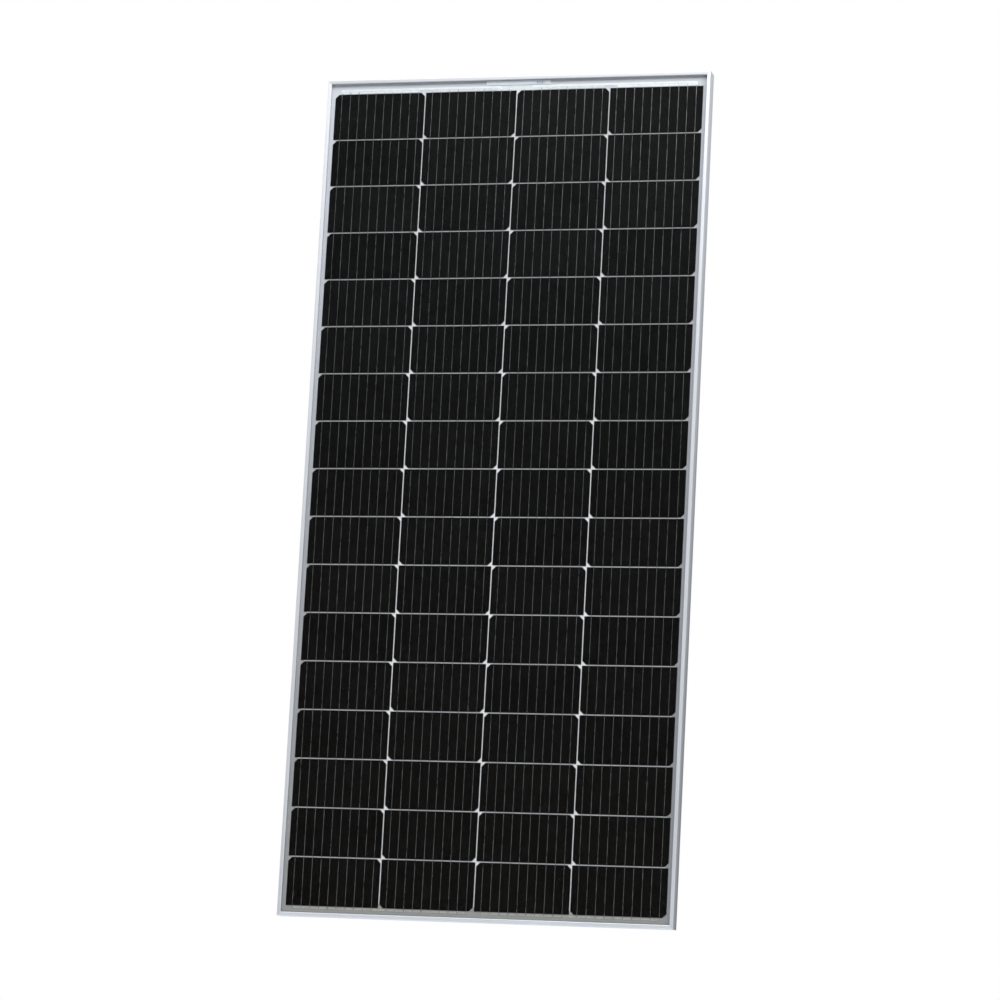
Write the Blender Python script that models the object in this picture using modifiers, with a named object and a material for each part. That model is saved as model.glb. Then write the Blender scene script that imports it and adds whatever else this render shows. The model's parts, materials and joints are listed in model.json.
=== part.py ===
"""Framed half-cut monocrystalline solar panel, standing upright, in metres.

+X is to the right seen from the front, +Z is up and the glass faces -Y. The origin is the
centre of the plane that the rear flanges lie in, where the panel meets its rack.
Depths are measured from the frame's front face towards +Y.
"""

import math

import bmesh
import bpy
from mathutils import Matrix

# Whole panel
FRAME_DEPTH = 0.030
COLUMNS = 4
ROWS = 17
CELL_WIDTH = 0.182
CELL_HEIGHT = 0.091
CELL_GAP = 0.002
CELL_CHAMFER = 0.0073
SIDE_MARGIN = 0.0145
TOP_MARGIN = 0.027
BOTTOM_MARGIN = 0.020

COLUMN_PITCH = CELL_WIDTH + CELL_GAP
ROW_PITCH = CELL_HEIGHT + CELL_GAP
WIDTH = COLUMNS * COLUMN_PITCH - CELL_GAP + 2 * SIDE_MARGIN
CELLS_HEIGHT = ROWS * ROW_PITCH - CELL_GAP
HEIGHT = CELLS_HEIGHT + TOP_MARGIN + BOTTOM_MARGIN
CELLS_TOP = HEIGHT / 2 - TOP_MARGIN
CELLS_BOTTOM = CELLS_TOP - CELLS_HEIGHT

# Frame rail section, as distances inward from the outer face and depths from the front
WALL = 0.0016
LIP_REACH = 0.007
LIP_THICKNESS = 0.0016
LIP_BEVEL = 0.0011
OUTER_RADIUS = 0.001
REAR_RADIUS = 0.0008
SHELF_FRONT = 0.0083
SHELF_REAR = 0.0096
CHAMBER_REACH = 0.0094
CHAMBER_WALL = 0.0014
WEB_FRONT = 0.0182
WEB_REAR = 0.0195
FLANGE_REACH = 0.024
FLANGE_THICKNESS = 0.0016
MITRE_GAP = 0.0002
ARC_STEPS = 4

# Holes in the rear flanges
SLOT_LENGTH = 0.014
SLOT_WIDTH = 0.009
SLOT_INSET = 0.0145
SLOT_HEIGHTS = (0.495, 0.200)
EARTH_HOLE = 0.0045
EARTH_HEIGHTS = (0.640,)
EARTH_HOLE_SIDES = 12
DRAIN_LENGTH = 0.010
DRAIN_WIDTH = 0.004
DRAIN_OFFSETS = (0.315,)
HOLE_STEPS = 6

# Corner keys
KEY_CLEARANCE = 0.0003
KEY_ARM = 0.046
KEY_LEAD_IN = 0.0015

# Laminate, as depths of each layer's front and rear faces
LAMINATE_INSET = 0.0025
GLASS_LAYER = (0.0023, 0.0055)
FRONT_SHEET_LAYER = (0.00555, 0.0060)
CELL_LAYER = (0.00615, 0.00635)
BUS_LAYER = (0.00648, 0.00664)
STRIP_LAYER = (0.00668, 0.00676)
LEAD_LAYER = (0.00680, 0.00696)
REAR_SHEET_LAYER = (0.0070, 0.0074)
BACKSHEET_LAYER = (0.00745, 0.00775)
SERIAL_LAYER = (0.00615, 0.00630)
RATING_LAYER = (0.00780, 0.00795)
GLASS_EDGE = 0.0006
SHEET_INSET = 0.0030

# Edge seal legs, round the laminate in the rail's groove
SEAL_CLEARANCE = 0.00005
SEAL_FRONT_REACH = 0.0062
SEAL_REAR_REACH = 0.0088
SEAL_WEB = 0.0024

# Ribbons
RIBBONS = 10
RIBBON_PITCH = 0.0173
RIBBON_WIDTH = 0.0012
BRIDGING_RIBBONS = (2, 7)
BUS_WIDTH = 0.0040
BUS_OFFSET = 0.0014
BUS_ROW_GAP = 0.0005
BUS_OVERRUN = 0.002
LEAD_WIDTH = 0.005
LEAD_SPACING = 0.034

# Labels
SERIAL_SIZE = (0.128, 0.0084)
SERIAL_CENTRE = (0.002, 0.8013)
RATING_SIZE = (0.110, 0.070)
RATING_CENTRE = (0.0, 0.560)

# Junction box, on the panel's centre line
BOX_HALF_WIDTH = 0.060
BOX_BOTTOM = 0.675
BOX_TOP = 0.765
BOX_RADIUS = 0.006
BOX_WALL = 0.002
BOX_FRONT = 0.00845
FLOOR_REAR = 0.01045
RIM = 0.0208
BED_LAYER = (0.0078, 0.0084)
BED_WIDTH = 0.008
SLIT_HEIGHT = 0.752
SLIT_SIZE = (0.0064, 0.0022)
FLOOR_SLOT_SIZE = (0.010, 0.005)
BOSS_RADIUS = 0.0036
BOSS_HOLE_RADIUS = 0.0022
BOSS_HOLE_FLOOR = 0.0154
SCREW_INSET = 0.0085

# Lid
LID_CLEARANCE = 0.0004
LID_SKIRT = 0.0016
SKIRT_FRONT = 0.0200
LID_FRONT = 0.0223
LID_REAR = 0.0260
LID_BEVEL = 0.0012
LID_PLATEAU_INSET = 0.016
LID_PLATEAU_RISE = 0.0008
GASKET_LAYER = (0.0211, 0.0220)
GASKET_WIDTH = 0.0016

# Lid hinge, an axis along X
HINGE_HEIGHT = 0.7690
HINGE_DEPTH = 0.0202
HINGE_OFFSET = 0.039
EAR_RADIUS = 0.0028
EAR_WIDTH = 0.004
KNUCKLE_WIDTH = 0.0092
KNUCKLE_GAP = 0.0004
PIN_RADIUS = 0.00125
PIN_CLEARANCE = 0.0001
PIN_OVERRUN = 0.0004
ARM_EMBED = 0.0005
EAR_STEPS = 8
KNUCKLE_END_ANGLE = 300
ROUND_STEPS = 24

# Lid screws
SCREW_RADIUS = 0.0015
SCREW_HEAD_RADIUS = 0.0029
SCREW_HEAD_HEIGHT = 0.0014
SCREW_TIP = 0.0162
SCREW_RECESS = 0.0002
SCREW_CLEARANCE = 0.0002
DRIVE_WIDTH = 0.0007
DRIVE_LENGTH = 0.0032
DRIVE_DEPTH = 0.0008
DRIVE_TURN = 21

# Terminals and bypass diodes
TERMINAL_WIDTH = 0.014
TERMINAL_FRONT = 0.0124
TERMINAL_REAR = 0.0133
TERMINAL_TOP = 0.748
TERMINAL_BOTTOM = 0.722
OUTER_TERMINAL_BOTTOM = 0.700
TERMINAL_FOOT_GAP = 0.0003
LEAD_TAIL_BOTTOM = 0.738
DIODE_HEIGHT = 0.729
DIODE_RADIUS = 0.0031
DIODE_BODY = 0.012
DIODE_LEAD_RADIUS = 0.0006
DIODE_INNER_END = 0.0015
DIODE_OUTER_END = 0.0390
DIODE_CENTRE = 0.017

# Cable glands, below the junction box, turned about vertical axes
GLAND_OFFSET = 0.036
GLAND_DEPTH = 0.0154
GLAND_BORE = 0.0034
GLAND_SPIGOT = 0.0044
GLAND_FLANGE = 0.0066
GLAND_THREAD = 0.0052
GLAND_INSIDE = 0.0032
GLAND_FLANGE_TOP = 0.0024
GLAND_FLANGE_END = 0.0050
GLAND_THREAD_END = 0.0120
GLAND_HOLE_RADIUS = 0.0047
NUT_RADIUS = 0.0068
NUT_TOP = 0.0053
NUT_CAVITY_END = 0.0144
NUT_END = 0.0160
NUT_CAVITY_RADIUS = 0.0056
NUT_BORE = 0.0036
NUT_BEVEL = 0.0006
SEAL_RING_RADIUS = 0.0053
SEAL_RING_BORE = 0.0033
SEAL_RING_SPAN = (0.0122, 0.0142)

FACING_BACK = (math.pi / 2, 0.0, 0.0)
ALONG_X = (math.pi / 2, 0.0, math.pi / 2)
MERGE = 0.000001
SMOOTH_ANGLE = 30

ALUMINIUM = ((0.78, 0.79, 0.81), 0.38, 0.9)
SEALANT = ((0.82, 0.82, 0.80), 0.6, 0.0)
GLASS = ((0.62, 0.66, 0.68), 0.06, 0.0)
CLEAR_SHEET = ((0.85, 0.86, 0.84), 0.3, 0.0)
SILICON = ((0.008, 0.008, 0.011), 0.25, 0.0)
TINNED_COPPER = ((0.72, 0.71, 0.68), 0.35, 1.0)
WHITE_SHEET = ((0.86, 0.87, 0.88), 0.55, 0.0)
PAPER = ((0.90, 0.91, 0.92), 0.5, 0.0)
BLACK_PLASTIC = ((0.015, 0.015, 0.016), 0.5, 0.0)
BLACK_RUBBER = ((0.020, 0.020, 0.020), 0.8, 0.0)
SILICONE_BED = ((0.70, 0.70, 0.68), 0.7, 0.0)
STEEL = ((0.55, 0.55, 0.56), 0.3, 1.0)
BRASS = ((0.80, 0.62, 0.32), 0.3, 1.0)
MOULDING = {"finish": BLACK_PLASTIC, "smooth_angle": SMOOTH_ANGLE}


def clear_scene():
    for obj in list(bpy.data.objects):
        bpy.data.objects.remove(obj)


def new_collection(name):
    collection = bpy.data.collections.new(name)
    bpy.context.scene.collection.children.link(collection)
    return collection


def principled(name, finish):
    colour, roughness, metallic = finish
    mat = bpy.data.materials.new(name)
    mat.use_nodes = True
    shader = mat.node_tree.nodes["Principled BSDF"]
    shader.inputs["Base Color"].default_value = (*colour, 1.0)
    shader.inputs["Roughness"].default_value = roughness
    shader.inputs["Metallic"].default_value = metallic
    mat.diffuse_color = (*colour, 1.0)
    return mat


def y_at(depth):
    """World Y of a depth from the frame's front face."""
    return depth - FRAME_DEPTH


def middle(layer):
    return (layer[0] + layer[1]) / 2


def thickness(layer):
    return layer[1] - layer[0]


def place(obj, location=(0, 0, 0), rotation=(0, 0, 0), parent=None):
    obj.location = location
    obj.rotation_euler = rotation
    obj.parent = parent
    return obj


def part(name, mesh, finish, smooth_angle=None):
    """A named sub-part in the panel's collection."""
    obj = bpy.data.objects.new(name, mesh)
    panel.objects.link(obj)
    mesh.materials.clear()
    mesh.materials.append(principled(name + "_finish", finish))
    if smooth_angle:
        mesh.shade_smooth()
        mesh.set_sharp_from_angle(angle=math.radians(smooth_angle))
    return obj


def cutter(name, mesh):
    obj = bpy.data.objects.new(name, mesh)
    cutters.objects.link(obj)
    obj.hide_render = True
    obj.display_type = "WIRE"
    return obj


def boolean(obj, other, operation="DIFFERENCE"):
    modifier = obj.modifiers.new(operation.lower(), "BOOLEAN")
    modifier.operation = operation
    modifier.solver = "EXACT"
    modifier.object = other


def finished_mesh(bm, name):
    bmesh.ops.recalc_face_normals(bm, faces=bm.faces)
    mesh = bpy.data.meshes.new(name)
    bm.to_mesh(mesh)
    bm.free()
    return mesh


def cylinder_mesh(name, radius, length, segments=ROUND_STEPS):
    """A cylinder along local Z, centred."""
    bm = bmesh.new()
    bmesh.ops.create_cone(
        bm, cap_ends=True, segments=segments, radius1=radius, radius2=radius, depth=length
    )
    return finished_mesh(bm, name)


def evaluated_mesh(guide, name):
    """The closed mesh that a guide object gives with its modifiers; the guide is removed."""
    bpy.context.scene.collection.objects.link(guide)
    view = bpy.context.evaluated_depsgraph_get()
    mesh = bpy.data.meshes.new_from_object(guide.evaluated_get(view))
    bpy.data.objects.remove(guide)
    bm = bmesh.new()
    bm.from_mesh(mesh)
    bmesh.ops.remove_doubles(bm, verts=bm.verts, dist=MERGE)
    bpy.data.meshes.remove(mesh)
    return finished_mesh(bm, name)


def outline_mesh(name, loops, depth):
    """Closed solid of flat outlines in local XY, depth thick along local Z, centred.

    A loop inside another is a hole."""
    curve = bpy.data.curves.new(name, "CURVE")
    curve.dimensions = "2D"
    curve.fill_mode = "BOTH"
    curve.extrude = depth / 2
    for loop in loops:
        spline = curve.splines.new("POLY")
        spline.points.add(len(loop) - 1)
        for point, (x, y) in zip(spline.points, loop):
            point.co = (x, y, 0, 1)
        spline.use_cyclic_u = True
    return evaluated_mesh(bpy.data.objects.new(name, curve), name)


def turned_mesh(name, profile, ring=False):
    """Solid turned about local Z from (radius, height) points; a ring's profile closes on itself."""
    edges = [(i, i + 1) for i in range(len(profile) - 1)]
    if ring:
        edges.append((len(profile) - 1, 0))
    mesh = bpy.data.meshes.new(name)
    mesh.from_pydata([(radius, 0, height) for radius, height in profile], edges, [])
    guide = bpy.data.objects.new(name, mesh)
    screw = guide.modifiers.new("turn", "SCREW")
    screw.axis = "Z"
    screw.steps = ROUND_STEPS
    screw.render_steps = ROUND_STEPS
    return evaluated_mesh(guide, name)


def rectangle(width, height, centre=(0, 0)):
    x, y = centre
    half_w, half_h = width / 2, height / 2
    return [
        (x - half_w, y - half_h),
        (x + half_w, y - half_h),
        (x + half_w, y + half_h),
        (x - half_w, y + half_h),
    ]


def arc(centre, radius, start, end, steps):
    """Points on an arc, angles in degrees."""
    points = []
    for step in range(steps + 1):
        angle = math.radians(start + (end - start) * step / steps)
        points.append((centre[0] + radius * math.cos(angle), centre[1] + radius * math.sin(angle)))
    return points


def rounded_rectangle(low, high, radius, steps=ARC_STEPS):
    corners = (
        ((high[0] - radius, high[1] - radius), 0),
        ((low[0] + radius, high[1] - radius), 90),
        ((low[0] + radius, low[1] + radius), 180),
        ((high[0] - radius, low[1] + radius), 270),
    )
    points = []
    for centre, start in corners:
        points += arc(centre, radius, start, start + 90, steps)
    return points


def stadium(centre, length, width, steps=HOLE_STEPS):
    """A slot with round ends, its length along the second coordinate."""
    radius = width / 2
    reach = (length - width) / 2
    upper = arc((centre[0], centre[1] + reach), radius, 0, 180, steps)
    lower = arc((centre[0], centre[1] - reach), radius, 180, 360, steps)
    return upper + lower


def sheet(name, finish, layer, half_width, half_height, centre=(0, 0)):
    """A rectangular sheet parallel to the glass."""
    mesh = outline_mesh(name, [rectangle(2 * half_width, 2 * half_height)], thickness(layer))
    return place(part(name, mesh, finish), (centre[0], y_at(middle(layer)), centre[1]), FACING_BACK)


def rail_placement(side):
    """Location, rotation and half length of the rail on one side.

    A rail's local X runs inward, Y runs to the rear and Z along the rail."""
    places = {
        "left": ((-WIDTH / 2, -FRAME_DEPTH, 0), (0, 0, 0), HEIGHT / 2),
        "right": ((WIDTH / 2, -FRAME_DEPTH, 0), (0, math.pi, 0), HEIGHT / 2),
        "top": ((0, -FRAME_DEPTH, HEIGHT / 2), (0, math.pi / 2, 0), WIDTH / 2),
        "bottom": ((0, -FRAME_DEPTH, -HEIGHT / 2), (0, -math.pi / 2, 0), WIDTH / 2),
    }
    return places[side]


def mitred_strip(name, loops, half_length):
    """An extruded section whose ends are cut at 45 degrees to meet its neighbours."""
    mesh = outline_mesh(name, loops, 2 * half_length)
    for vertex in mesh.vertices:
        end = half_length - vertex.co.x - MITRE_GAP
        vertex.co.z = math.copysign(end, vertex.co.z)
    return mesh


def rail_section():
    """Outline of the rail and of its closed chamber."""
    outline = arc((OUTER_RADIUS, OUTER_RADIUS), OUTER_RADIUS, 180, 270, ARC_STEPS)
    outline += [
        (LIP_REACH - LIP_BEVEL, 0.0),
        (LIP_REACH, LIP_BEVEL),
        (LIP_REACH, LIP_THICKNESS),
        (WALL, LIP_THICKNESS),
        (WALL, SHELF_FRONT),
        (CHAMBER_REACH, SHELF_FRONT),
        (CHAMBER_REACH, WEB_REAR),
        (WALL, WEB_REAR),
        (WALL, FRAME_DEPTH - FLANGE_THICKNESS),
        (FLANGE_REACH, FRAME_DEPTH - FLANGE_THICKNESS),
        (FLANGE_REACH, FRAME_DEPTH),
    ]
    outline += arc((REAR_RADIUS, FRAME_DEPTH - REAR_RADIUS), REAR_RADIUS, 90, 180, ARC_STEPS)
    inner = CHAMBER_REACH - CHAMBER_WALL
    chamber = [(WALL, SHELF_REAR), (inner, SHELF_REAR), (inner, WEB_FRONT), (WALL, WEB_FRONT)]
    return [outline, chamber]


def seal_section():
    """U-section of the edge seal: it lines the groove and holds the laminate's edge."""
    low = WALL + SEAL_CLEARANCE
    front = LIP_THICKNESS + SEAL_CLEARANCE
    rear = SHELF_FRONT - SEAL_CLEARANCE
    inner_front = GLASS_LAYER[0] - SEAL_CLEARANCE
    inner_rear = BACKSHEET_LAYER[1] + SEAL_CLEARANCE
    return [
        [
            (low, front),
            (SEAL_FRONT_REACH, front),
            (SEAL_FRONT_REACH, inner_front),
            (SEAL_WEB, inner_front),
            (SEAL_WEB, inner_rear),
            (SEAL_REAR_REACH, inner_rear),
            (SEAL_REAR_REACH, rear),
            (low, rear),
        ]
    ]


def flange_holes(side):
    """Outlines of the holes in one rail's rear flange, as inward and along-rail distances."""
    loops = []
    last_side = 360 - 360 / EARTH_HOLE_SIDES
    for sign in (-1, 1):
        if side in ("left", "right"):
            for height in SLOT_HEIGHTS:
                loops.append(stadium((SLOT_INSET, sign * height), SLOT_LENGTH, SLOT_WIDTH))
            for height in EARTH_HEIGHTS:
                centre = (SLOT_INSET, sign * height)
                loops.append(arc(centre, EARTH_HOLE / 2, 0, last_side, EARTH_HOLE_SIDES - 1))
        else:
            for offset in DRAIN_OFFSETS:
                loops.append(stadium((SLOT_INSET, sign * offset), DRAIN_LENGTH, DRAIN_WIDTH))
    return loops


def make_frame():
    for side in ("left", "right", "top", "bottom"):
        location, rotation, half_length = rail_placement(side)
        rail_mesh = mitred_strip("rail_" + side, rail_section(), half_length)
        rail = place(part("rail_" + side, rail_mesh, ALUMINIUM), location, rotation)
        holes = outline_mesh("flange_holes_" + side, flange_holes(side), 4 * FLANGE_THICKNESS)
        drill = cutter("flange_holes_" + side, holes)
        place(drill, (0, FRAME_DEPTH - FLANGE_THICKNESS / 2, 0), FACING_BACK, rail)
        boolean(rail, drill)
        seal_mesh = mitred_strip("edge_seal_" + side, seal_section(), half_length)
        place(part("edge_seal_" + side, seal_mesh, SEALANT), location, rotation)


def make_corner_keys():
    """An L of bar at each corner, inside both rails' chambers."""
    low = WALL + KEY_CLEARANCE
    high = CHAMBER_REACH - CHAMBER_WALL - KEY_CLEARANCE
    lead = KEY_LEAD_IN
    outline = [
        (low, low),
        (KEY_ARM - lead, low),
        (KEY_ARM, low + lead),
        (KEY_ARM, high - lead),
        (KEY_ARM - lead, high),
        (high, high),
        (high, KEY_ARM - lead),
        (high - lead, KEY_ARM),
        (low + lead, KEY_ARM),
        (low, KEY_ARM - lead),
    ]
    layer = (SHELF_REAR + KEY_CLEARANCE, WEB_FRONT - KEY_CLEARANCE)
    corners = {
        "bottom_left": (-1, -1, 0),
        "bottom_right": (1, -1, 90),
        "top_right": (1, 1, 180),
        "top_left": (-1, 1, 270),
    }
    for name, (side, end, quarter) in corners.items():
        mesh = outline_mesh("corner_key_" + name, [outline], thickness(layer))
        mesh.transform(Matrix.Rotation(math.radians(quarter), 4, "Z"))
        key = part("corner_key_" + name, mesh, STEEL)
        place(key, (side * WIDTH / 2, y_at(middle(layer)), end * HEIGHT / 2), FACING_BACK)


def string_outline(column):
    """Outlines of one column's half-cells, bridged across each gap by two of its ribbons.

    Alternate columns carry their chamfered corners at the top and at the bottom."""
    half = CELL_WIDTH / 2
    chamfer_up = column % 2 == 0
    bridges = [(index - (RIBBONS - 1) / 2) * RIBBON_PITCH for index in BRIDGING_RIBBONS]
    left_bridge = bridges[0] - RIBBON_WIDTH / 2
    right_bridge = bridges[1] + RIBBON_WIDTH / 2
    right_side = []
    left_side = []
    windows = []
    for row in range(ROWS):
        top = CELLS_TOP - row * ROW_PITCH
        bottom = top - CELL_HEIGHT
        if chamfer_up:
            corner = [(half - CELL_CHAMFER, top), (half, top - CELL_CHAMFER), (half, bottom)]
        else:
            corner = [(half, top), (half, bottom + CELL_CHAMFER), (half - CELL_CHAMFER, bottom)]
        right_side += corner
        left_side += [(-x, z) for x, z in corner]
        if row < ROWS - 1:
            right_side += [(right_bridge, bottom), (right_bridge, bottom - CELL_GAP)]
            left_side += [(left_bridge, bottom), (left_bridge, bottom - CELL_GAP)]
            inner_width = bridges[1] - bridges[0] - RIBBON_WIDTH
            windows.append(rectangle(inner_width, CELL_GAP, (0, bottom - CELL_GAP / 2)))
    return [right_side + left_side[::-1]] + windows


def make_cells():
    for column in range(COLUMNS):
        name = f"cell_string_{column + 1}"
        mesh = outline_mesh(name, string_outline(column), thickness(CELL_LAYER))
        string = part(name, mesh, SILICON)
        x = (column - (COLUMNS - 1) / 2) * COLUMN_PITCH
        place(string, (x, y_at(middle(CELL_LAYER)), 0), FACING_BACK)


def ribbon_reach(column):
    """Lowest and highest X that a bus ribbon needs to meet every ribbon of a column."""
    centre = (column - (COLUMNS - 1) / 2) * COLUMN_PITCH
    reach = (RIBBONS - 1) / 2 * RIBBON_PITCH + BUS_OVERRUN
    return centre - reach, centre + reach


def flat_ribbon(name, outline, layer=BUS_LAYER):
    mesh = outline_mesh(name, [outline], thickness(layer))
    return place(part(name, mesh, TINNED_COPPER), (0, y_at(middle(layer)), 0), FACING_BACK)


def make_bus_ribbons():
    low = CELLS_BOTTOM - BUS_OFFSET - BUS_WIDTH
    high = CELLS_BOTTOM - BUS_OFFSET
    for name, first, last in (("bottom_bus_left", 0, 1), ("bottom_bus_right", 2, 3)):
        start, end = ribbon_reach(first)[0], ribbon_reach(last)[1]
        flat_ribbon(name, [(start, low), (end, low), (end, high), (start, high)])
    inner_low = CELLS_TOP + BUS_OFFSET
    inner_high = inner_low + BUS_WIDTH
    outer_low = inner_high + BUS_ROW_GAP
    outer_high = outer_low + BUS_WIDTH
    start, end = ribbon_reach(1)[0], ribbon_reach(2)[1]
    centre = [(start, inner_low), (end, inner_low), (end, inner_high), (start, inner_high)]
    flat_ribbon("top_bus_centre", centre)
    far, near = ribbon_reach(0)
    lead_end = -LEAD_SPACING + LEAD_WIDTH / 2
    doubled = [
        (far, inner_low),
        (near, inner_low),
        (near, inner_high),
        (far + BUS_WIDTH, inner_high),
        (far + BUS_WIDTH, outer_low),
        (lead_end, outer_low),
        (lead_end, outer_high),
        (far, outer_high),
    ]
    flat_ribbon("top_bus_left", doubled)
    flat_ribbon("top_bus_right", [(-x, z) for x, z in reversed(doubled)])
    return inner_high, outer_high


def make_lead_outs(inner_high, outer_high):
    """Ribbons from the top buses, down behind the cells, out through the back and onto the terminals."""
    front, rear = y_at(LEAD_LAYER[0]), y_at(LEAD_LAYER[1])
    stock = thickness(LEAD_LAYER)
    tail_front = y_at(TERMINAL_REAR) + stock / 2
    tail_rear = tail_front + stock
    turn_top = SLIT_HEIGHT + stock / 2
    turn_bottom = SLIT_HEIGHT - stock / 2
    for name, x, top in (
        ("lead_out_left", -LEAD_SPACING, outer_high),
        ("lead_out_centre", 0.0, inner_high),
        ("lead_out_right", LEAD_SPACING, outer_high),
    ):
        side = [
            (front, top),
            (front, turn_bottom),
            (tail_front, turn_bottom),
            (tail_front, LEAD_TAIL_BOTTOM),
            (tail_rear, LEAD_TAIL_BOTTOM),
            (tail_rear, turn_top),
            (rear, turn_top),
            (rear, top),
        ]
        mesh = outline_mesh(name, [side], LEAD_WIDTH)
        place(part(name, mesh, TINNED_COPPER), (x, 0, 0), ALONG_X)
    half_width = LEAD_SPACING + LEAD_WIDTH
    low = SLIT_HEIGHT + SLIT_SIZE[1]
    centre = (0, (low + outer_high) / 2)
    sheet("insulating_strip", WHITE_SHEET, STRIP_LAYER, half_width, (outer_high - low) / 2, centre)


def lead_windows(size):
    """Outlines of three openings in a row, one for each lead-out."""
    return [rectangle(size[0], size[1], (x, SLIT_HEIGHT)) for x in (-LEAD_SPACING, 0, LEAD_SPACING)]


def slit_cutter(name, size, layer):
    slits = cutter(name, outline_mesh(name, lead_windows(size), 4 * thickness(layer)))
    return place(slits, (0, y_at(middle(layer)), 0), FACING_BACK)


def make_laminate():
    half_width = WIDTH / 2 - LAMINATE_INSET
    half_height = HEIGHT / 2 - LAMINATE_INSET
    glass = sheet("front_glass", GLASS, GLASS_LAYER, half_width, half_height)
    bevel = glass.modifiers.new("ground_edges", "BEVEL")
    bevel.width = GLASS_EDGE
    bevel.segments = 1
    half_width = WIDTH / 2 - SHEET_INSET
    half_height = HEIGHT / 2 - SHEET_INSET
    sheet("front_encapsulant", CLEAR_SHEET, FRONT_SHEET_LAYER, half_width, half_height)
    rear = sheet("rear_encapsulant", CLEAR_SHEET, REAR_SHEET_LAYER, half_width, half_height)
    boolean(rear, slit_cutter("encapsulant_slits", SLIT_SIZE, REAR_SHEET_LAYER))
    backsheet = sheet("backsheet", WHITE_SHEET, BACKSHEET_LAYER, half_width, half_height)
    boolean(backsheet, slit_cutter("backsheet_slits", SLIT_SIZE, BACKSHEET_LAYER))
    sheet("serial_label", PAPER, SERIAL_LAYER, SERIAL_SIZE[0] / 2, SERIAL_SIZE[1] / 2, SERIAL_CENTRE)
    sheet("rating_label", PAPER, RATING_LAYER, RATING_SIZE[0] / 2, RATING_SIZE[1] / 2, RATING_CENTRE)


def box_corners(grow=0.0):
    """Low and high corners of the junction box's outline, grown all round."""
    return (-BOX_HALF_WIDTH - grow, BOX_BOTTOM - grow), (BOX_HALF_WIDTH + grow, BOX_TOP + grow)


def block(name, outline, layer, make=cutter, **options):
    """A flat outline in X and Z filling a range of depths."""
    mesh = outline_mesh(name, outline, thickness(layer))
    return place(make(name, mesh, **options), (0, y_at(middle(layer)), 0), FACING_BACK)


def screw_places():
    x = BOX_HALF_WIDTH - SCREW_INSET
    return [("left", -x), ("right", x)]


def make_junction_box_base():
    low, high = box_corners()
    outline = rounded_rectangle(low, high, BOX_RADIUS)
    base = block("junction_box_base", [outline], (BOX_FRONT, RIM), part, **MOULDING)
    pocket_outline = rounded_rectangle(*box_corners(-BOX_WALL), BOX_RADIUS - BOX_WALL)
    boolean(base, block("box_pocket", [pocket_outline], (FLOOR_REAR, RIM + BOX_WALL)))
    z = BOX_BOTTOM + SCREW_INSET
    overlap = BOX_WALL / 4
    for side, x in screw_places():
        boss_mesh = cylinder_mesh("boss", BOSS_RADIUS, RIM - FLOOR_REAR + overlap)
        boss = cutter("box_boss_" + side, boss_mesh)
        place(boss, (x, y_at((FLOOR_REAR + RIM - overlap) / 2), z), FACING_BACK)
        boolean(base, boss, "UNION")
        hole_mesh = cylinder_mesh("boss_hole", BOSS_HOLE_RADIUS, 2 * (RIM - BOSS_HOLE_FLOOR))
        hole = cutter("box_boss_hole_" + side, hole_mesh)
        place(hole, (x, y_at(RIM), z), FACING_BACK)
        boolean(base, hole)
    for side in (-1, 1):
        for edge in (-1, 1):
            offset = (KNUCKLE_WIDTH / 2 + KNUCKLE_GAP + EAR_WIDTH / 2) * edge
            ear = cutter("hinge_ear", outline_mesh("hinge_ear", [ear_outline()], EAR_WIDTH))
            place(ear, (side * HINGE_OFFSET + offset, 0, 0), ALONG_X)
            boolean(base, ear, "UNION")
    boolean(base, hinge_bore("ear_bore"))
    windows = lead_windows(FLOOR_SLOT_SIZE)
    boolean(base, block("floor_slots", windows, (BOX_FRONT - BOX_WALL, FLOOR_REAR + BOX_WALL)))
    for side in (-1, 1):
        hole = cutter("gland_hole", cylinder_mesh("gland_hole", GLAND_HOLE_RADIUS, 4 * BOX_WALL))
        place(hole, (side * GLAND_OFFSET, y_at(GLAND_DEPTH), BOX_BOTTOM))
        boolean(base, hole)


def ear_outline():
    """Side view of a hinge ear, in Y and Z: a foot on the box's top wall and a round head."""
    y, z = y_at(HINGE_DEPTH), HINGE_HEIGHT
    foot = BOX_TOP - BOX_WALL / 2
    head = arc((y, z), EAR_RADIUS, 0, 180, EAR_STEPS)
    return [
        (y - 2 * EAR_RADIUS, foot),
        (y_at(RIM), foot),
        (y_at(RIM), BOX_TOP),
        *head,
        (y - EAR_RADIUS, z - EAR_RADIUS),
    ]


def hinge_bore(name):
    length = 2 * (HINGE_OFFSET + KNUCKLE_WIDTH + 2 * EAR_WIDTH)
    bore = cutter(name, cylinder_mesh(name, PIN_RADIUS + PIN_CLEARANCE, length))
    return place(bore, (0, y_at(HINGE_DEPTH), HINGE_HEIGHT), (0, math.pi / 2, 0))


def make_hinge_pins():
    length = KNUCKLE_WIDTH + 2 * (KNUCKLE_GAP + EAR_WIDTH + PIN_OVERRUN)
    for name, side in (("hinge_pin_left", -1), ("hinge_pin_right", 1)):
        pin = part(name, cylinder_mesh(name, PIN_RADIUS, length), STEEL, smooth_angle=SMOOTH_ANGLE)
        place(pin, (side * HINGE_OFFSET, y_at(HINGE_DEPTH), HINGE_HEIGHT), (0, math.pi / 2, 0))


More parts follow.
